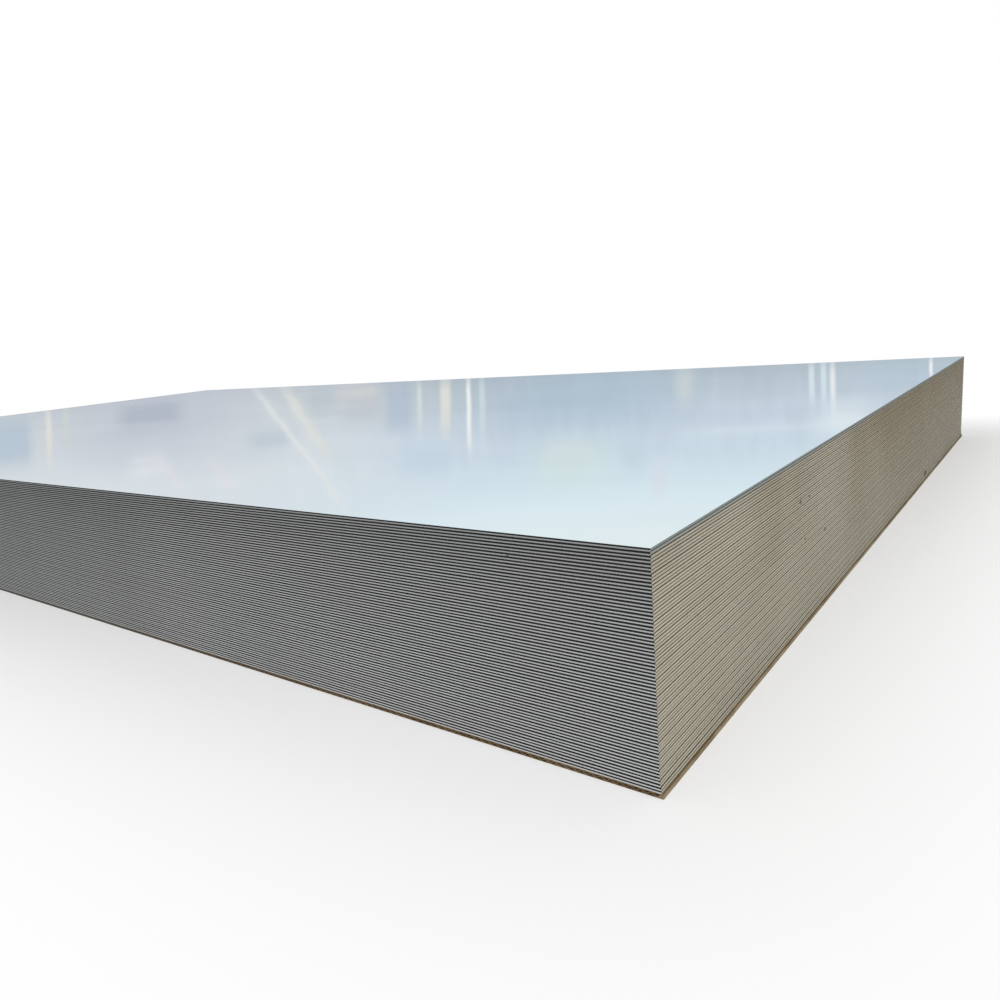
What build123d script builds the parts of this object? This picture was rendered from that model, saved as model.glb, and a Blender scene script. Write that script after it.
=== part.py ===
# A pack of flat steel plates, as it leaves the cut-to-length line: 69 plates of 4 ft by 8 ft
# and 2 mm, laid square on one another over a sheet of single-wall corrugated board.
#
# Frame: +X along the plates' length, +Y across their width, +Z up. The origin is the middle of
# the pack's underside. All sizes are in millimetres.
#
# Every plate has the edges that its blades left. The two long edges were slit from the coil, so
# their upper part is torn back and their lower part is a straight burnished band. The two ends
# were cut across from above, so their upper part is the burnished band and the torn part, which
# leans in, is underneath. Plates in a real pack are never quite in line: each one is jogged a
# little along and across, the pack leans a few millimetres lengthwise, its lowest plates have
# slid out of that line, and a thin film of air is left between the plates.

import math
import os

from build123d import *

# Plates
PLATE_LENGTH = 2438.0
PLATE_WIDTH = 1219.0
PLATE_THICKNESS = 2.0
PLATE_COUNT = 69
AIR_FILM = 0.066

# Slit long edges: the torn part, from the top down, and how far its top lies back
SLIT_TORN_DEPTH = 1.0
SLIT_TORN_LEAN = 0.16

# Cut ends: the torn part, from the underside up, and how far its bottom lies back
END_TORN_DEPTH = 0.7
END_TORN_LEAN = 0.2

# Bevel that the blade's first bite leaves on the edge of the burnished band
BITE_BEVEL = 0.15

# How far the pack leans lengthwise from bottom to top, how far any plate may lie off that line,
# along and across, and the turns from plate to plate that spread these jogs
PACK_LEAN = 3.6
JOG_ALONG = 0.16
JOG_ACROSS = 0.12
JOG_TURN_ALONG = math.radians(137.5)
JOG_TURN_ACROSS = math.radians(233.75)

# How far the lowest plate has slid out of that line, and over how many plates this fades
FOOT_SLIDE = 0.8
FOOT_COUNT = 4

# Corrugated board under the plates: two flat papers with a waved paper glued between them. The
# waves run across the pack, so their open ends show along its long sides. It is cut to the size
# of the plates.
LINER_THICKNESS = 0.3
FLUTE_DEPTH = 2.2
FLUTE_PITCH = 6.6
FLUTE_PAPER = 0.2
GLUE_LINE = 0.4

# Worked out from the sizes above
PLATE_PITCH = PLATE_THICKNESS + AIR_FILM
BOARD_LENGTH = PLATE_LENGTH
BOARD_WIDTH = PLATE_WIDTH
BOARD_THICKNESS = 2 * LINER_THICKNESS + FLUTE_DEPTH
FIRST_PLATE_Z = BOARD_THICKNESS + AIR_FILM
FLUTE_COUNT = int(BOARD_LENGTH // FLUTE_PITCH) - 1


def plate_place(index):
    """Where the middle of plate number index lies, along X and Y."""
    lean = PACK_LEAN * (index / (PLATE_COUNT - 1) - 0.5)
    foot = FOOT_SLIDE * max(0.0, 1 - index / FOOT_COUNT)
    along = lean + foot + JOG_ALONG * math.sin(index * JOG_TURN_ALONG)
    return along, JOG_ACROSS * math.cos(index * JOG_TURN_ACROSS)


def plate(index):
    """One plate of the pack. Number 0 lies on the board."""
    bottom = Plane.XY.offset(FIRST_PLATE_Z + index * PLATE_PITCH)
    with BuildPart() as sheet:
        with BuildSketch(bottom):
            with Locations(plate_place(index)):
                Rectangle(PLATE_LENGTH, PLATE_WIDTH)
        extrude(amount=PLATE_THICKNESS)
        top_face = sheet.faces().sort_by(Axis.Z)[-1]
        chamfer(
            top_face.edges().filter_by(Axis.X),
            length=SLIT_TORN_LEAN,
            length2=SLIT_TORN_DEPTH,
            reference=top_face,
        )
        bottom_face = sheet.faces().sort_by(Axis.Z)[0]
        chamfer(
            bottom_face.edges().filter_by(Axis.Y),
            length=END_TORN_LEAN,
            length2=END_TORN_DEPTH,
            reference=bottom_face,
        )
        chamfer(sheet.faces().sort_by(Axis.Z)[0].edges().filter_by(Axis.X), BITE_BEVEL)
        chamfer(sheet.faces().sort_by(Axis.Z)[-1].edges().filter_by(Axis.Y), BITE_BEVEL)
    return sheet.part


def cardboard():
    """The corrugated board: a slab with the two rows of channels that its waved paper leaves."""
    floor = LINER_THICKNESS
    ceiling = LINER_THICKNESS + FLUTE_DEPTH
    half_open = (FLUTE_PITCH - GLUE_LINE) / 2
    channels = []
    for number in range(FLUTE_COUNT):
        x = (number - (FLUTE_COUNT - 1) / 2) * FLUTE_PITCH
        crest = (x, ceiling - FLUTE_PAPER)
        channels.append(Wire.make_polygon([(x - half_open, floor), (x + half_open, floor), crest]))
    for number in range(FLUTE_COUNT + 1):
        x = (number - FLUTE_COUNT / 2) * FLUTE_PITCH
        trough = (x, floor + FLUTE_PAPER)
        channels.append(
            Wire.make_polygon([(x - half_open, ceiling), (x + half_open, ceiling), trough])
        )
    outline = Wire.make_rect(BOARD_LENGTH, BOARD_THICKNESS)
    outline = outline.moved(Location((0, BOARD_THICKNESS / 2)))
    with BuildPart() as board:
        with BuildSketch(Plane.XZ):
            add(Face(outline, channels))
        extrude(amount=BOARD_WIDTH / 2, both=True)
    return board.part


os.makedirs("parts", exist_ok=True)

plates = [plate(index) for index in range(PLATE_COUNT)]

top_plate = plates[-1]
top_plate.label = "top_plate"
export_step(top_plate, "parts/top_plate.step")

lower_plates = Compound(label="lower_plates", children=plates[:-1])
export_step(lower_plates, "parts/lower_plates.step")

cardboard_sheet = cardboard()
cardboard_sheet.label = "cardboard_sheet"
export_step(cardboard_sheet, "parts/cardboard_sheet.step")

pack_height = FIRST_PLATE_Z + PLATE_COUNT * PLATE_PITCH - AIR_FILM
print("pack height", round(pack_height, 2), "flutes", FLUTE_COUNT)
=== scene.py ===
"""A pack of flat steel plates on a sheet of corrugated cardboard, in a plain studio."""

import bmesh
import bpy
from mathutils import Matrix, Vector


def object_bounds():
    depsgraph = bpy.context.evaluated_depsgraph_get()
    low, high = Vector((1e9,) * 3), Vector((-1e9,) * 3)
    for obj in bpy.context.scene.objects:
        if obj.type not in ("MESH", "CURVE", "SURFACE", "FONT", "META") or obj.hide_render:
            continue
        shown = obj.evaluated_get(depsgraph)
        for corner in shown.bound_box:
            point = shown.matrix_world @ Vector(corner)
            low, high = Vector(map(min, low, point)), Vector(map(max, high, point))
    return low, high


bl_info = {
    "name": "Pack of steel plates",
    "version": (1, 0, 0),
    "blender": (4, 5, 0),
    "location": "View3D > Sidebar > Steel Pack",
    "description": "Finishes a pack of steel plates and sets it in a plain studio",
    "category": "Object",
}

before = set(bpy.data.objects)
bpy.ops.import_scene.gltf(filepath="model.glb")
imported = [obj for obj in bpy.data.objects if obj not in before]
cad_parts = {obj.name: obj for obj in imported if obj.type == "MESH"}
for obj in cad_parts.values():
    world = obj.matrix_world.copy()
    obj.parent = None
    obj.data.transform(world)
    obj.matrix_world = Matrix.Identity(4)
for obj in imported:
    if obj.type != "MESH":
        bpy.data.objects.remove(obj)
CAD_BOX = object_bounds()
TOP_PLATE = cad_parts["top_plate"]
LOWER_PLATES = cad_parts["lower_plates"]
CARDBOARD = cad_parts["cardboard_sheet"]
EXPORT_MAP = "OFBake"  # the name of the maps that side_layout and top_layout make

PACK_TOP = CAD_BOX[1][2]
PLATE = 0.002  # how thick a plate is, in metres
WHITE = (1.0, 1.0, 1.0, 1.0)

# Kinds of socket on a node group
VALUE, VECTOR, COLOUR = "NodeSocketFloat", "NodeSocketVector", "NodeSocketColor"

# The finishes of a plate, in the order of its material slots
FACE, SLIT_BRIGHT, SLIT_TORN, END_BRIGHT, END_TORN = range(5)

# How far up or down a normal points on a flat face, and the least on a bevel and on a torn band
FLAT, BEVEL, TORN = 0.95, 0.5, 0.02

# Camera, fitted to the photograph: where it stands, its right, up and backward axes, its lens and
# sensor in mm, and how far the photograph's middle is from the lens's own
EYE = (1.4023, -0.9448, 0.2624)
EYE_RIGHT = (0.81589, 0.57154, -0.08762)
EYE_UP = (-0.03450, 0.19939, 0.97931)
EYE_BACK = (0.57718, -0.79598, 0.18240)
LENS = 27.316
SENSOR = 36.0
SHIFT = (-0.04646, -0.03162)

# How worn and how shaded the long edges and the ends are: the far shade is painted shade that grows
# toward each side's far end, less so low down, the height slope makes an edge darker toward the
# top, and grime is real dirt. The way to the far end is measured along the pack
SLIT_WEAR_AND_SHADE = {
    "Height slope": 0.23,
    "Top shade": 0.86,
    "Way to far end": (-1.4, 0.0, 0.0),
    "Way passed": -1.45,
    # painted shade: darker toward the long side's far end
    "Far shade": (0.75, 0.78, 0.75, 1.0),
    "Share low down": 0.55,
    "Grime": 0.04,
}
END_WEAR_AND_SHADE = {
    "Height slope": -0.03,
    "Top shade": 0.92,
    "Way to far end": (0.0, 1.25, 0.0),
    "Way passed": -0.75,
    # painted shade: darker and browner toward the end's far side
    "Far shade": (0.58, 0.51, 0.39, 1.0),
    "Share low down": 0.2,
    "Grime": 0.12,
}

# Painted shadow, in a dark teal, that the ends of the topmost plates take on, on their bright and
# torn bands, and how far below the pack's top this starts and is full
END_TEAL_SHADOW = (0.22, 0.25, 0.24, 1.0)
END_TEAL_SHADOW_TORN = (0.05, 0.058, 0.056, 1.0)
TEAL_SHADOW_STARTS, TEAL_SHADOW_FULL = 0.0052, 0.0012

# Colours of what lies on the edges, and how much of a mark's colour shows
SMUDGE = (0.12, 0.105, 0.075, 1.0)
SPECK = (0.02, 0.018, 0.016, 1.0)
MARK = (0.03, 0.028, 0.022, 1.0)
MARK_SHARE = 0.75

# Small dark marks on the pack's sides: where each one's middle is, and its half sizes, in metres
MARKS = (
    ((1.219, -0.355, 0.1086), (0.01, 0.0030, 0.0016)),
    ((1.219, -0.331, 0.1078), (0.01, 0.0022, 0.0012)),
    ((1.219, -0.342, 0.0750), (0.01, 0.0022, 0.0011)),
    ((1.219, -0.284, 0.0670), (0.01, 0.0035, 0.0014)),
    ((1.219, 0.2295, 0.0101), (0.01, 0.0110, 0.0040)),
    ((1.125, -0.6095, 0.1310), (0.0012, 0.01, 0.0010)),
)

# The steel's duller clouds, then the cardboard: its darker mottles, pale fibres and dust, and
# where along X the dust starts and is full
CLOUD = (0.93, 0.935, 0.95, 1.0)
MOTTLE = (0.62, 0.55, 0.47, 1.0)
PALE_FIBRE = (0.46, 0.38, 0.27, 1.0)
DUST = (0.20, 0.195, 0.18, 1.0)
DUST_STARTS, DUST_FULL = 1.15, 0.45

# How much darker or bluer the cardboard's flat papers, its sides and its ends are
PAPER_SHADE = (0.72, 0.70, 0.66, 1.0)
PAPER_SIDE_SHADE = (0.90, 0.88, 0.85, 1.0)
PAPER_END_SHADE = (1.0, 1.12, 1.2, 1.0)

# Where the pack's sides lie on a picture laid over them, from 0 to 1: two rows, each with a long
# side and an end in it, and a narrow strip between them for the flat faces
ROW_STARTS, ROW_HEIGHT = (0.005, 0.505), 0.49
LONG_SIDE_WIDTH = 0.66
END_START, END_WIDTH = 0.67, 0.33
STRIP_START, STRIP_WIDTH = 0.662, 0.006
STRIP_FOOT, STRIP_HEIGHT = 0.25, 0.5

# Where the top plate's faces lie on its own picture: the upper face in the upper half, and below
# it a strip for each kind of edge face and a small patch for the underside
UPPER_FACE = 0.5
UNDERSIDE = (0.3, 0.15)
EDGE_STRIPS, STRIP_STEP, STRIP_RISE = 0.18, 0.024, 0.014

# The studio: its floor, how near the pack the floor goes over to white and how white it is right at
# the pack, the world's light, and the lamp
FLOOR_RADIUS = 40.0
FLOOR_SIDES = 96
FLOOR_COLOUR = (0.90, 0.90, 0.90, 1.0)
FLOOR_WHITE_FROM = 0.3
FLOOR_WHITE_AT_PACK = 0.3
WORLD_LIGHT = 0.62
LAMP_PLACE = (2.2, -1.7, 1.6)
LAMP_AIM = (1.2, -0.5, 0.1)
LAMP_SIZE = 1.2
LAMP_POWER = 26.0

# Colours of the mirrored sky by degrees above the horizon
SKY_TOP = 90.0
SKY = (
    (0.0, (0.34, 0.39, 0.45)),
    (2.5, (0.41, 0.47, 0.54)),
    (4.2, (0.48, 0.56, 0.62)),
    (7.0, (0.61, 0.70, 0.79)),
    (10.3, (0.70, 0.82, 0.90)),
    (13.6, (0.83, 0.96, 1.0)),
    (17.0, (0.92, 1.0, 1.0)),
    (90.0, (0.93, 0.98, 1.0)),
)

# Soft shapes in the mirrored hall, in degrees: middle along the horizon and above it, half width,
# half height, lean, softness; then colour and share
HALL = (
    # a pale wall behind all the rest
    (155.0, 7.5, 17.0, 5.5, 0.0, 0.7, (0.86, 0.88, 0.88), 0.6),
    # dim walls and openings
    (152.6, 4.3, 5.6, 2.1, 0.15, 0.9, (0.51, 0.54, 0.64), 0.55),
    (153.0, 3.4, 1.8, 0.6, 0.15, 0.4, (0.38, 0.42, 0.52), 0.6),
    (160.9, 4.2, 1.0, 1.3, 0.15, 0.4, (0.40, 0.53, 0.65), 0.6),
    (145.7, 6.1, 1.5, 0.6, 0.15, 0.6, (0.41, 0.51, 0.63), 0.45),
    (142.0, 3.9, 1.0, 0.7, 0.0, 0.6, (0.42, 0.47, 0.56), 0.35),
    (136.5, 4.9, 0.9, 1.7, 0.1, 0.6, (0.40, 0.50, 0.65), 0.5),
    (122.6, 5.5, 6.2, 1.9, 0.1, 0.8, (0.44, 0.56, 0.68), 0.6),
    (100.5, 5.3, 2.9, 0.7, 0.0, 0.8, (0.49, 0.61, 0.70), 0.6),
    (135.0, 8.7, 1.9, 1.4, 0.1, 0.5, (0.60, 0.74, 0.86), 0.5),
    (119.2, 10.3, 0.8, 1.1, 0.1, 0.9, (0.60, 0.71, 0.78), 0.4),
    # pale walls
    (149.6, 7.4, 4.1, 0.7, 0.15, 0.7, (0.69, 0.74, 0.79), 0.5),
    (124.1, 10.1, 2.6, 1.6, 0.1, 0.7, (0.76, 0.88, 0.82), 0.6),
    (117.4, 12.0, 0.6, 1.2, 0.1, 0.6, (0.82, 0.81, 0.88), 0.45),
    (103.9, 8.3, 1.8, 1.1, 0.15, 0.8, (0.93, 1.0, 1.0), 0.6),
    # columns and windows
    (158.9, 4.0, 0.14, 1.7, 0.16, 0.6, (0.82, 0.81, 0.74), 0.8),
    (157.9, 3.5, 0.16, 1.2, 0.17, 0.6, (0.67, 0.69, 0.62), 0.6),
    (135.0, 5.1, 0.18, 1.9, 0.1, 0.5, (0.70, 0.79, 0.77), 0.8),
    (133.1, 5.2, 0.38, 2.0, 0.11, 0.5, (0.83, 0.83, 0.76), 0.8),
    (131.4, 5.8, 0.15, 2.5, 0.09, 0.6, (1.0, 1.0, 0.98), 0.9),
    (130.4, 5.9, 0.2, 2.5, 0.09, 0.6, (0.69, 0.80, 0.83), 0.7),
    (115.1, 5.0, 0.60, 1.2, 0.05, 0.9, (0.70, 0.75, 0.70), 0.6),
    (106.2, 5.5, 0.18, 1.4, 0.0, 0.5, (0.76, 0.86, 0.91), 0.8),
    (105.4, 5.5, 0.18, 1.4, 0.0, 0.5, (0.74, 0.85, 0.91), 0.8),
    (104.8, 5.6, 0.16, 1.4, 0.0, 0.9, (1.0, 1.0, 1.0), 0.75),
    (98.6, 4.9, 0.1, 0.6, 0.0, 0.5, (1.0, 1.0, 1.0), 0.95),
    # beams, lamps and slanting braces
    (153.7, 6.3, 1.0, 0.2, 0.0, 0.5, (0.85, 0.87, 0.89), 0.8),
    (153.7, 7.1, 1.2, 0.24, 0.0, 0.5, (0.88, 0.89, 0.91), 0.8),
    (110.2, 8.6, 4.5, 0.15, 0.0, 0.6, (0.93, 1.0, 1.0), 0.6),
    (139.3, 3.4, 1.5, 0.35, 0.0, 0.5, (0.72, 0.70, 0.68), 0.7),
    (139.3, 4.8, 1.3, 0.65, 0.1, 0.6, (0.56, 0.56, 0.60), 0.55),
    (152.3, 7.8, 0.18, 1.4, -0.45, 0.6, (0.87, 0.82, 0.85), 0.5),
    (149.2, 8.3, 0.22, 1.6, -0.51, 0.6, (0.87, 0.79, 0.83), 0.5),
    (143.7, 7.25, 0.17, 4.7, -0.54, 0.5, (0.90, 0.90, 0.86), 0.8),
    (143.1, 5.4, 0.32, 2.6, -0.45, 0.5, (0.81, 0.82, 0.75), 0.75),
)


# Node trees


def node(tree, kind, values=(), **settings):
    """A new node with its settings, and its inputs set to numbers or linked to other sockets."""
    made = tree.nodes.new(kind)
    for name, value in settings.items():
        setattr(made, name, value)
    for name, value in dict(values).items():
        if isinstance(value, bpy.types.NodeSocket):
            tree.links.new(value, made.inputs[name])
        else:
            made.inputs[name].default_value = value
    return made


def math_node(tree, operation, first, second=0.0, clamp=False):
    """The value of a Math node on two numbers or sockets."""
    values = {0: first, 1: second}
    return node(tree, "ShaderNodeMath", values, operation=operation, use_clamp=clamp).outputs[0]


def vector_node(tree, operation, first, second=(0.0, 0.0, 0.0)):
    """The result of a Vector Math node on two vectors or sockets."""
    made = node(tree, "ShaderNodeVectorMath", {0: first, 1: second}, operation=operation)
    return made.outputs["Value" if operation in ("DOT_PRODUCT", "LENGTH") else "Vector"]


def scaled(tree, paint, factor):
    """A colour times a number."""
    values = {0: paint, "Scale": factor}
    return node(tree, "ShaderNodeVectorMath", values, operation="SCALE").outputs["Vector"]


def mix_colour(tree, share, first, second, blend="MIX"):
    """Two colours, mixed by a share of the second."""
    values = {0: share, 6: first, 7: second}
    return node(tree, "ShaderNodeMix", values, data_type="RGBA", blend_type=blend).outputs[2]


def between(tree, value, low, high, start=0.0, end=1.0, smooth=True):
    """A value moved from the range low to high into start to end, and held there."""
    kind = "SMOOTHSTEP" if smooth else "LINEAR"
    values = {"From Min": low, "From Max": high, "To Min": start, "To Max": end, "Value": value}
    return node(tree, "ShaderNodeMapRange", values, interpolation_type=kind).outputs["Result"]


def noise(tree, place, scale, detail=2.0, rough=0.5):
    """A noise value between 0 and 1 at a place."""
    values = {"Vector": place, "Scale": scale, "Detail": detail, "Roughness": rough}
    return node(tree, "ShaderNodeTexNoise", values).outputs["Fac"]


def stretched(tree, place, scale):
    """A place with each of its axes scaled."""
    return node(tree, "ShaderNodeMapping", {"Vector": place, "Scale": scale}).outputs["Vector"]


def new_group(name, inputs, outputs):
    """An empty shader node group with its sockets, and its input and output nodes."""
    tree = bpy.data.node_groups.new(name, "ShaderNodeTree")
    for label, kind, default in inputs:
        socket = tree.interface.new_socket(name=label, in_out="INPUT", socket_type=kind)
        if default is not None:
            socket.default_value = default
    for label, kind in outputs:
        tree.interface.new_socket(name=label, in_out="OUTPUT", socket_type=kind)
    return tree, tree.nodes.new("NodeGroupInput").outputs, tree.nodes.new("NodeGroupOutput").inputs


def placed_group(tree, build, values=()):
    """A node with a shared group in it. The function build makes the group the first time, under
    its own name."""
    name = build.__name__.replace("_", " ").capitalize()
    shared = bpy.data.node_groups.get(name) or build(name)
    return node(tree, "ShaderNodeGroup", values, node_tree=shared)


def rolling_grain(name):
    """Fine streaks along the plates' length, as the mill's rolls leave them."""
    tree, given, out = new_group(
        name,
        (("Place", VECTOR, None), ("Fineness", VALUE, 1.0)),
        (("Streaks", VALUE), ("Clouds", VALUE)),
    )
    lines = stretched(tree, given["Place"], (1.5, 260.0, 1.0))
    streaks = noise(tree, lines, given["Fineness"], 3.0, 0.6)
    clouds = noise(tree, stretched(tree, given["Place"], (1.2, 3.0, 1.0)), 2.0, 2.0, 0.5)
    tree.links.new(streaks, out["Streaks"])
    tree.links.new(clouds, out["Clouds"])
    return tree


def shop_grime(name):
    """Smudges and dust that gather on the pack's sides: a mask of soft patches and small specks."""
    tree, given, out = new_group(
        name,
        (("Place", VECTOR, None), ("Amount", VALUE, 0.5)),
        (("Patches", VALUE), ("Specks", VALUE)),
    )
    soft = noise(tree, stretched(tree, given["Place"], (3.0, 3.0, 9.0)), 2.0, 4.0, 0.6)
    patches = math_node(tree, "MULTIPLY", between(tree, soft, 0.42, 0.68), given["Amount"])
    fine = noise(tree, given["Place"], 140.0, 1.0, 0.4)
    specks = math_node(tree, "MULTIPLY", between(tree, fine, 0.7, 0.76), given["Amount"])
    tree.links.new(patches, out["Patches"])
    tree.links.new(specks, out["Specks"])
    return tree


def small_mark(name):
    """A soft-edged oval mark at a place: 1 in its middle and 0 outside it."""
    tree, given, out = new_group(
        name,
        (("Place", VECTOR, None), ("Middle", VECTOR, None), ("Half sizes", VECTOR, None)),
        (("Mark", VALUE),),
    )
    off = vector_node(tree, "SUBTRACT", given["Place"], given["Middle"])
    ratio = vector_node(tree, "DIVIDE", off, given["Half sizes"])
    length = vector_node(tree, "LENGTH", ratio)
    tree.links.new(between(tree, length, 0.6, 1.2, 1.0, 0.0), out["Mark"])
    return tree


def edge_wear_and_shade(name):
    """What dirt and painted shade do to an edge's colour. It darkens toward the top of the pack,
    darkens with painted shade toward its far end, and has soft smudges, specks and a few marks. The
    topmost plates can take on a painted shadow in a colour of its own."""
    tree, given, out = new_group(
        name,
        (
            ("Place", VECTOR, None),
            ("Colour", COLOUR, None),
            ("Height slope", VALUE, 0.2),
            ("Top shade", VALUE, 1.0),
            ("Way to far end", VECTOR, None),
            ("Way passed", VALUE, 0.0),
            ("Far shade", COLOUR, None),
            ("Share low down", VALUE, 1.0),
            ("Grime", VALUE, 0.1),
            ("Top shadow colour", COLOUR, None),
            ("Top shadow share", VALUE, 0.0),
        ),
        (("Colour", COLOUR), ("Streaks", VALUE)),
    )
    place = given["Place"]
    height = node(tree, "ShaderNodeSeparateXYZ", {0: place}).outputs["Z"]
    streaks = noise(tree, stretched(tree, place, (14.0, 14.0, 480.0)), 1.0, 3.0, 0.6)
    shade = between(tree, streaks, 0.3, 0.7, 0.965, 1.035, False)
    more = math_node(tree, "ADD", 1.0, given["Height slope"])
    less = math_node(tree, "SUBTRACT", 1.0, given["Height slope"])
    # Darker toward the top of the pack by the height slope; a slope below 0 makes it lighter
    height_slope = between(tree, height, 0.01, PACK_TOP, more, less, False)
    cap = between(tree, height, 0.72 * PACK_TOP, PACK_TOP, 1.0, given["Top shade"])
    shade = math_node(tree, "MULTIPLY", math_node(tree, "MULTIPLY", shade, height_slope), cap)
    lit = scaled(tree, given["Colour"], shade)
    # Painted shade: the colour darkens toward the side's far end, less so low down, and its edge
    # wanders in soft upright bands
    way = vector_node(tree, "DOT_PRODUCT", place, given["Way to far end"])
    reach = math_node(tree, "SUBTRACT", way, given["Way passed"])
    far_shade_wobble = noise(tree, stretched(tree, place, (5.0, 5.0, 2.0)), 2.0, 2.0, 0.5)
    reach = math_node(tree, "ADD", reach, between(tree, far_shade_wobble, 0.3, 0.7, -0.18, 0.18, False))
    low = between(tree, height, 0.0, PACK_TOP, given["Share low down"], 1.0, False)
    far = math_node(tree, "MULTIPLY", between(tree, reach, 0.0, 1.0), low)
    far_shaded = mix_colour(tree, far, lit, given["Far shade"], "MULTIPLY")
    dirt = placed_group(tree, shop_grime, {"Place": place, "Amount": given["Grime"]}).outputs
    smudged = mix_colour(tree, dirt["Patches"], far_shaded, SMUDGE)
    worn = mix_colour(tree, dirt["Specks"], smudged, SPECK)
    for middle, half_sizes in MARKS:
        values = {"Place": place, "Middle": middle, "Half sizes": half_sizes}
        mark = placed_group(tree, small_mark, values).outputs["Mark"]
        worn = mix_colour(tree, math_node(tree, "MULTIPLY", mark, MARK_SHARE), worn, MARK)
    # Painted shadow along the topmost plates' ends, in a colour of its own
    top = between(tree, height, PACK_TOP - TEAL_SHADOW_STARTS, PACK_TOP - TEAL_SHADOW_FULL)
    top = math_node(tree, "MULTIPLY", top, given["Top shadow share"])
    tree.links.new(mix_colour(tree, top, worn, given["Top shadow colour"]), out["Colour"])
    tree.links.new(streaks, out["Streaks"])
    return tree


def worn_paper(name):
    """Raw brown paper with mottles and fibres, darker by a shade and greyer toward the pack's
    middle, where dust has settled in it."""
    tree, given, out = new_group(
        name,
        (("Place", VECTOR, None), ("Paper", COLOUR, None), ("Shade", COLOUR, None)),
        (("Colour", COLOUR), ("Fibres", VALUE)),
    )
    place, paper = given["Place"], given["Paper"]
    fibres = noise(tree, stretched(tree, place, (400.0, 60.0, 400.0)), 1.0, 4.0, 0.7)
    mottle = noise(tree, place, 25.0, 3.0, 0.6)
    dark = mix_colour(tree, 1.0, paper, MOTTLE, "MULTIPLY")
    mixed = mix_colour(tree, between(tree, mottle, 0.35, 0.7), paper, dark)
    pale = mix_colour(tree, between(tree, fibres, 0.5, 0.8, 0.0, 0.3), mixed, PALE_FIBRE)
    along = node(tree, "ShaderNodeSeparateXYZ", {0: place}).outputs["X"]
    dusty = between(tree, along, DUST_STARTS, DUST_FULL, 0.0, 0.85)
    dusted = mix_colour(tree, dusty, pale, DUST)
    tree.links.new(mix_colour(tree, 1.0, dusted, given["Shade"], "MULTIPLY"), out["Colour"])
    tree.links.new(fibres, out["Fibres"])
    return tree


def empty_tree(owner):
    """The node tree of a material or world, with nothing in it."""
    owner.use_nodes = True
    owner.node_tree.nodes.clear()
    return owner.node_tree


def new_material(name):
    """A material with nothing but its shader and output, and the place of each point on it."""
    material = bpy.data.materials.new(name)
    tree = empty_tree(material)
    shader = tree.nodes.new("ShaderNodeBsdfPrincipled")
    out = tree.nodes.new("ShaderNodeOutputMaterial")
    tree.links.new(shader.outputs[0], out.inputs["Surface"])
    place = tree.nodes.new("ShaderNodeTexCoord").outputs["Object"]
    return material, tree, shader, place


def colour(value):
    """A colour property as a node's colour."""
    return (*value[:3], 1.0)


def rolled_face_material(look):
    """The plates' flat faces: bright cold-rolled steel with a soft, slightly streaked mirror."""
    material, tree, shader, place = new_material("rolled_steel_face")
    grain = placed_group(tree, rolling_grain, {"Place": place}).outputs
    face = colour(look.face)
    dull = mix_colour(tree, 1.0, face, CLOUD, "MULTIPLY")
    clouded = mix_colour(tree, between(tree, grain["Clouds"], 0.35, 0.7), face, dull)
    tree.links.new(clouded, shader.inputs["Base Color"])
    shader.inputs["Metallic"].default_value = 1.0
    rough = between(tree, grain["Streaks"], 0.3, 0.7, look.gloss, look.gloss + 0.015, False)
    tree.links.new(rough, shader.inputs["Roughness"])
    wave = noise(tree, stretched(tree, place, (1.0, 1.6, 1.0)), 2.2, 1.0, 0.4)
    height = math_node(tree, "ADD", math_node(tree, "MULTIPLY", grain["Streaks"], 0.002), wave)
    bump = node(tree, "ShaderNodeBump", {"Height": height, "Strength": 1.0, "Distance": 0.0008})
    tree.links.new(bump.outputs["Normal"], shader.inputs["Normal"])
    return material


def edge_material(name, base, rough, metal, wear_and_shade, top_shadow=None):
    """One of the bands that the blades left along the plates' edges. wear_and_shade has the numbers
    and colours for its edge group, and top_shadow the colour of the painted shadow that the topmost
    plates take on."""
    material, tree, shader, place = new_material(name)
    values = {"Place": place, "Colour": base, **wear_and_shade}
    if top_shadow:
        values.update({"Top shadow colour": top_shadow, "Top shadow share": 1.0})
    worn = placed_group(tree, edge_wear_and_shade, values).outputs
    tree.links.new(worn["Colour"], shader.inputs["Base Color"])
    shader.inputs["Metallic"].default_value = metal
    shader.inputs["Specular IOR Level"].default_value = 0.15
    roughness = between(tree, worn["Streaks"], 0.3, 0.7, rough, rough + 0.1, False)
    tree.links.new(roughness, shader.inputs["Roughness"])
    return material


def cardboard_material(name, paper, shade):
    """The cardboard's worn paper, darker by a shade."""
    material, tree, shader, place = new_material(name)
    values = {"Place": place, "Paper": paper, "Shade": shade}
    worn = placed_group(tree, worn_paper, values).outputs
    tree.links.new(worn["Colour"], shader.inputs["Base Color"])
    shader.inputs["Roughness"].default_value = 0.9
    values = {"Height": worn["Fibres"], "Strength": 0.5, "Distance": 0.0002}
    bump = node(tree, "ShaderNodeBump", values)
    tree.links.new(bump.outputs["Normal"], shader.inputs["Normal"])
    return material


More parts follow.
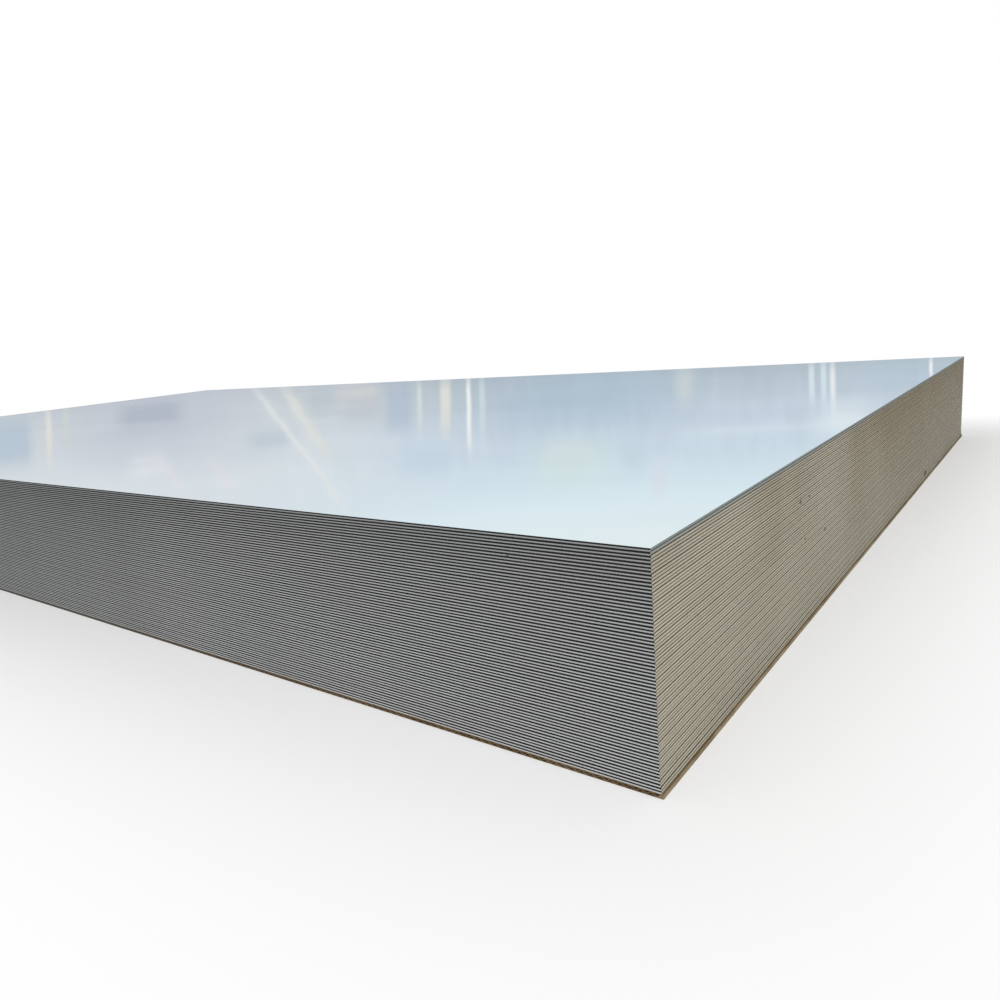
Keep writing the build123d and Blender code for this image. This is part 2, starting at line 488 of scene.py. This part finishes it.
class PackLook(bpy.types.PropertyGroup):
    """The finishes of the pack."""

    face: bpy.props.FloatVectorProperty(
        name="Plate face",
        description="Colour of the plates' flat faces",
        subtype="COLOR",
        size=3,
        min=0.0,
        max=1.0,
        default=(0.80, 0.82, 0.84),
    )
    gloss: bpy.props.FloatProperty(
        name="Face roughness",
        description="Roughness of the plates' flat faces",
        subtype="FACTOR",
        min=0.0,
        max=1.0,
        default=0.05,
    )
    slit_bright: bpy.props.FloatVectorProperty(
        name="Slit edge, bright band",
        description="Colour of the burnished band on the long edges",
        subtype="COLOR",
        size=3,
        min=0.0,
        max=1.0,
        default=(0.44, 0.445, 0.44),
    )
    # The long edges' torn band: duller steel, darkened with painted shade
    slit_torn_shade: bpy.props.FloatVectorProperty(
        name="Slit edge, torn band with painted shade",
        description="Colour of the torn band on the long edges",
        subtype="COLOR",
        size=3,
        min=0.0,
        max=1.0,
        default=(0.012, 0.013, 0.014),
    )
    end_bright: bpy.props.FloatVectorProperty(
        name="Cut end, bright band",
        description="Colour of the burnished band on the short edges",
        subtype="COLOR",
        size=3,
        min=0.0,
        max=1.0,
        default=(0.465, 0.425, 0.335),
    )
    # The ends' torn band: duller steel, darkened with painted shade
    end_torn_shade: bpy.props.FloatVectorProperty(
        name="Cut end, torn band with painted shade",
        description="Colour of the torn band on the short edges",
        subtype="COLOR",
        size=3,
        min=0.0,
        max=1.0,
        default=(0.075, 0.064, 0.04),
    )
    paper: bpy.props.FloatVectorProperty(
        name="Cardboard",
        description="Colour of the cardboard",
        subtype="COLOR",
        size=3,
        min=0.0,
        max=1.0,
        default=(0.30, 0.22, 0.125),
    )


def finish_of(polygon):
    """Which finish a face of a plate has. Its normal tells the band."""
    n = polygon.normal
    if abs(n.z) > FLAT:
        return FACE
    if abs(n.y) > abs(n.x):
        return SLIT_TORN if n.z > TORN else SLIT_BRIGHT
    return END_TORN if -BEVEL < n.z < -TORN else END_BRIGHT


def corners_of(mesh, polygon):
    """A face's corners: each one's number on a map, its place, and its share of the way through
    the pack's box along each axis."""
    low, high = Vector(CAD_BOX[0]), Vector(CAD_BOX[1])
    for loop, index in zip(polygon.loop_indices, polygon.vertices):
        co = mesh.vertices[index].co
        yield loop, co, [(co[axis] - low[axis]) / (high[axis] - low[axis]) for axis in range(3)]


def side_layout(plates):
    """Lays a picture's two rows over the pack's four sides, and a strip of it over the flat faces,
    which the plates above them hide, so that a picture laid on this map keeps each plate's bands."""
    layer = plates.data.uv_layers.new(name=EXPORT_MAP)
    for polygon in plates.data.polygons:
        n = polygon.normal
        for loop, _, share in corners_of(plates.data, polygon):
            if finish_of(polygon) == FACE:
                across = STRIP_START + STRIP_WIDTH * share[0]
                up = STRIP_FOOT + STRIP_HEIGHT * share[1]
            elif abs(n.y) > abs(n.x):
                across = LONG_SIDE_WIDTH * share[0]
                up = ROW_HEIGHT * share[2] + ROW_STARTS[n.y > 0]
            else:
                across = END_START + END_WIDTH * share[1]
                up = ROW_HEIGHT * share[2] + ROW_STARTS[n.x < 0]
            layer.uv[loop].vector = (across, up)


def top_layout(plate):
    """Lays a picture's upper half over the top plate's upper face, and strips of its lower half
    over the rest."""
    layer = plate.data.uv_layers.new(name=EXPORT_MAP)
    strips = {}
    for polygon in plate.data.polygons:
        n = polygon.normal
        flat = abs(n.z) > FLAT
        if not flat:
            key = tuple(round(value, 2) for value in n)
            strip = strips.setdefault(key, len(strips))
        for loop, co, share in corners_of(plate.data, polygon):
            if flat and n.z > 0:
                place = (share[0], UPPER_FACE * share[1] + UPPER_FACE)
            elif flat:
                place = (UNDERSIDE[0] * share[0], UNDERSIDE[1] * share[1])
            else:
                along = share[0] if abs(n.y) > abs(n.x) else share[1]
                rise = (co.z - (PACK_TOP - PLATE)) / PLATE
                place = (along, EDGE_STRIPS + STRIP_STEP * strip + STRIP_RISE * rise)
            layer.uv[loop].vector = place


class PACK_OT_finish_plates(bpy.types.Operator):
    """Gives the plates' faces and each band of their edges a finish"""

    bl_idname = "steel_pack.finish_plates"
    bl_label = "Finish plates"

    def execute(self, context):
        look = context.scene.pack_look
        slit_bright, slit_torn_shade = colour(look.slit_bright), colour(look.slit_torn_shade)
        end_bright, end_torn_shade = colour(look.end_bright), colour(look.end_torn_shade)
        finishes = (
            rolled_face_material(look),
            edge_material("slit_edge_burnished", slit_bright, 0.38, 0.4, SLIT_WEAR_AND_SHADE),
            # the torn bands' colours carry painted shade
            edge_material("slit_edge_torn_shaded", slit_torn_shade, 0.6, 0.1, SLIT_WEAR_AND_SHADE),
            # the ends take a painted teal shadow along the topmost plates
            edge_material("cut_end_burnished", end_bright, 0.5, 0.2, END_WEAR_AND_SHADE, END_TEAL_SHADOW),
            edge_material("cut_end_torn_shaded", end_torn_shade, 0.6, 0.1, END_WEAR_AND_SHADE, END_TEAL_SHADOW_TORN),
        )
        for plates in (TOP_PLATE, LOWER_PLATES):
            plates.data.materials.clear()
            for finish in finishes:
                plates.data.materials.append(finish)
            for polygon in plates.data.polygons:
                polygon.material_index = finish_of(polygon)
                polygon.use_smooth = False
        side_layout(LOWER_PLATES)
        top_layout(TOP_PLATE)
        return {"FINISHED"}


class PACK_OT_finish_cardboard(bpy.types.Operator):
    """Gives the corrugated cardboard its paper"""

    bl_idname = "steel_pack.finish_cardboard"
    bl_label = "Finish cardboard"

    def execute(self, context):
        paper = colour(context.scene.pack_look.paper)
        papers = (
            cardboard_material("brown_paper", paper, PAPER_SHADE),
            cardboard_material("brown_paper_cut_across", paper, PAPER_SIDE_SHADE),
            cardboard_material("brown_paper_end", paper, PAPER_END_SHADE),
        )
        flat, side, end = range(len(papers))
        CARDBOARD.data.materials.clear()
        for made in papers:
            CARDBOARD.data.materials.append(made)
        for polygon in CARDBOARD.data.polygons:
            n = polygon.normal
            polygon.material_index = side if abs(n.y) > 0.9 else end if abs(n.x) > 0.99 else flat
        return {"FINISHED"}


def floor_material():
    """Pale floor that keeps the pack's shadow and goes over to white away from it."""
    material = bpy.data.materials.new("studio_floor")
    tree = empty_tree(material)
    place = tree.nodes.new("ShaderNodeTexCoord").outputs["Object"]
    paint = node(tree, "ShaderNodeBsdfDiffuse", {"Color": FLOOR_COLOUR})
    white = node(tree, "ShaderNodeEmission", {"Color": WHITE, "Strength": 1.0})
    path = tree.nodes.new("ShaderNodeLightPath").outputs
    seen = math_node(tree, "ADD", path["Is Camera Ray"], path["Is Glossy Ray"])
    seen = math_node(tree, "ADD", seen, path["Is Transmission Ray"], True)
    half = (*CAD_BOX[1][:2], 0.0)
    past = vector_node(tree, "SUBTRACT", vector_node(tree, "ABSOLUTE", place), half)
    away = vector_node(tree, "LENGTH", vector_node(tree, "MAXIMUM", past))
    far = between(tree, away, 0.0, FLOOR_WHITE_FROM, FLOOR_WHITE_AT_PACK, 1.0)
    share = math_node(tree, "MULTIPLY", seen, far)
    mixed = node(tree, "ShaderNodeMixShader", {0: share, 1: paint.outputs[0], 2: white.outputs[0]})
    out = tree.nodes.new("ShaderNodeOutputMaterial")
    tree.links.new(mixed.outputs[0], out.inputs["Surface"])
    return material


def soft_patch(name):
    """Paints one soft-edged patch onto a sky. All its measures are in degrees: along the horizon,
    up from it, and how far the patch leans along the horizon for each degree up."""
    sizes = ("Along", "Up", "Middle along", "Middle up", "Half width", "Half height", "Lean")
    tree, given, out = new_group(
        name,
        (
            ("Sky", COLOUR, None),
            *((size, VALUE, 0.0) for size in sizes),
            ("Softness", VALUE, 0.5),
            ("Paint", COLOUR, None),
            ("Share", VALUE, 1.0),
        ),
        (("Sky", COLOUR),),
    )
    up = math_node(tree, "SUBTRACT", given["Up"], given["Middle up"])
    along = math_node(tree, "SUBTRACT", given["Along"], given["Middle along"])
    along = math_node(tree, "SUBTRACT", along, math_node(tree, "MULTIPLY", up, given["Lean"]))
    mask = given["Share"]
    less = math_node(tree, "SUBTRACT", 1.0, given["Softness"])
    more = math_node(tree, "ADD", 1.0, given["Softness"])
    for off, half in ((along, given["Half width"]), (up, given["Half height"])):
        inner = math_node(tree, "MULTIPLY", half, less)
        outer = math_node(tree, "MULTIPLY", half, more)
        side = between(tree, math_node(tree, "ABSOLUTE", off), inner, outer, 1.0, 0.0)
        mask = math_node(tree, "MULTIPLY", mask, side)
    tree.links.new(mix_colour(tree, mask, given["Sky"], given["Paint"]), out["Sky"])
    return tree


def mirrored_sky(tree, way):
    """What the steel mirrors: a hall that is dim near the horizon and bright above, with the soft
    shapes of HALL in it."""
    parts = node(tree, "ShaderNodeSeparateXYZ", {0: way}).outputs
    along = math_node(tree, "DEGREES", math_node(tree, "ARCTAN2", parts["Y"], parts["X"]))
    up = math_node(tree, "DEGREES", math_node(tree, "ARCSINE", parts["Z"]))
    ramp = node(tree, "ShaderNodeValToRGB", {"Fac": math_node(tree, "DIVIDE", up, SKY_TOP)})
    stops = ramp.color_ramp.elements
    while len(stops) < len(SKY):
        stops.new(1.0)
    for stop, (height, paint) in zip(stops, SKY):
        stop.position = height / SKY_TOP
        stop.color = (*paint, 1.0)
    sky = ramp.outputs["Color"]
    spot = node(tree, "ShaderNodeCombineXYZ", {"X": along, "Y": up}).outputs[0]
    clutter = noise(tree, stretched(tree, spot, (0.8, 0.3, 1.0)), 1.0, 4.0, 0.6)
    depth = between(tree, up, 8.0, 13.0, 0.22, 0.03)
    clutter = math_node(tree, "MULTIPLY", math_node(tree, "SUBTRACT", clutter, 0.5), depth)
    sky = scaled(tree, sky, math_node(tree, "ADD", clutter, 1.0))
    for middle_along, middle_up, half_width, half_height, lean, softness, paint, share in HALL:
        values = {
            "Sky": sky,
            "Along": along,
            "Up": up,
            "Middle along": middle_along,
            "Middle up": middle_up,
            "Half width": half_width,
            "Half height": half_height,
            "Lean": lean,
            "Softness": softness,
            "Paint": (*paint, 1.0),
            "Share": share,
        }
        sky = placed_group(tree, soft_patch, values).outputs["Sky"]
    return sky


def studio_world():
    """White all round for the camera, a pale hall for what the steel mirrors, and a plain soft
    level of light."""
    world = bpy.data.worlds.new("studio_world")
    tree = empty_tree(world)
    way = tree.nodes.new("ShaderNodeTexCoord").outputs["Generated"]
    sky = mirrored_sky(tree, way)
    path = tree.nodes.new("ShaderNodeLightPath").outputs
    mirrored = node(tree, "ShaderNodeBackground", {"Color": sky, "Strength": 1.0}).outputs[0]
    plain = node(tree, "ShaderNodeBackground", {"Color": WHITE, "Strength": WORLD_LIGHT}).outputs[0]
    white = node(tree, "ShaderNodeBackground", {"Color": WHITE, "Strength": 1.0}).outputs[0]
    glossy = math_node(tree, "ADD", path["Is Glossy Ray"], path["Is Transmission Ray"], True)
    first = node(tree, "ShaderNodeMixShader", {0: glossy, 1: plain, 2: mirrored}).outputs[0]
    second = node(tree, "ShaderNodeMixShader", {0: path["Is Camera Ray"], 1: first, 2: white})
    out = tree.nodes.new("ShaderNodeOutputWorld")
    tree.links.new(second.outputs[0], out.inputs["Surface"])
    return world


def soft_lamp(name, place, aim, size, power):
    """A large soft square lamp that looks at a point."""
    data = bpy.data.lights.new(name, "AREA")
    data.shape = "SQUARE"
    data.size = size
    data.energy = power
    lamp = bpy.data.objects.new(name, data)
    bpy.context.scene.collection.objects.link(lamp)
    lamp.location = place
    away = Vector(place) - Vector(aim)
    lamp.rotation_euler = away.to_track_quat("Z", "Y").to_euler()
    lamp.visible_camera = False
    lamp.visible_glossy = False  # or the plates would mirror its square
    return lamp


class PACK_OT_make_stage(bpy.types.Operator):
    """Makes the floor, the light and the camera"""

    bl_idname = "steel_pack.make_stage"
    bl_label = "Make stage"

    def execute(self, context):
        scene = context.scene
        mesh = bpy.data.meshes.new("floor")
        shape = bmesh.new()
        bmesh.ops.create_circle(shape, cap_ends=True, segments=FLOOR_SIDES, radius=FLOOR_RADIUS)
        shape.to_mesh(mesh)
        shape.free()
        floor = bpy.data.objects.new("floor", mesh)
        scene.collection.objects.link(floor)
        mesh.materials.append(floor_material())
        scene.world = studio_world()
        soft_lamp("key_lamp", LAMP_PLACE, LAMP_AIM, LAMP_SIZE, LAMP_POWER)
        data = bpy.data.cameras.new("camera")
        data.sensor_width = SENSOR
        data.lens = LENS
        data.shift_x, data.shift_y = SHIFT
        data.clip_start = 0.01
        data.clip_end = 200.0
        camera = bpy.data.objects.new("camera", data)
        scene.collection.objects.link(camera)
        axes = Matrix((EYE_RIGHT, EYE_UP, EYE_BACK)).transposed().to_4x4()
        camera.matrix_world = Matrix.Translation(EYE) @ axes
        scene.camera = camera
        scene.view_settings.view_transform = "Standard"
        return {"FINISHED"}


class PACK_PT_panel(bpy.types.Panel):
    """Lists the pack's colours, its faces' roughness and its makers"""

    bl_label = "Steel Pack"
    bl_space_type = "VIEW_3D"
    bl_region_type = "UI"
    bl_category = "Steel Pack"

    def draw(self, context):
        look = context.scene.pack_look
        for name in look.bl_rna.properties.keys():
            if name not in ("rna_type", "name"):
                self.layout.prop(look, name)
        for maker in MAKERS:
            self.layout.operator(maker.bl_idname)


MAKERS = (PACK_OT_make_stage, PACK_OT_finish_plates, PACK_OT_finish_cardboard)
CLASSES = (PackLook, *MAKERS, PACK_PT_panel)


def register():
    for made in CLASSES:
        bpy.utils.register_class(made)
    bpy.types.Scene.pack_look = bpy.props.PointerProperty(type=PackLook)


def unregister():
    del bpy.types.Scene.pack_look
    for made in reversed(CLASSES):
        bpy.utils.unregister_class(made)


def main():
    register()
    bpy.ops.steel_pack.make_stage()
    bpy.ops.steel_pack.finish_plates()
    bpy.ops.steel_pack.finish_cardboard()


if __name__ == "__main__":
    main()
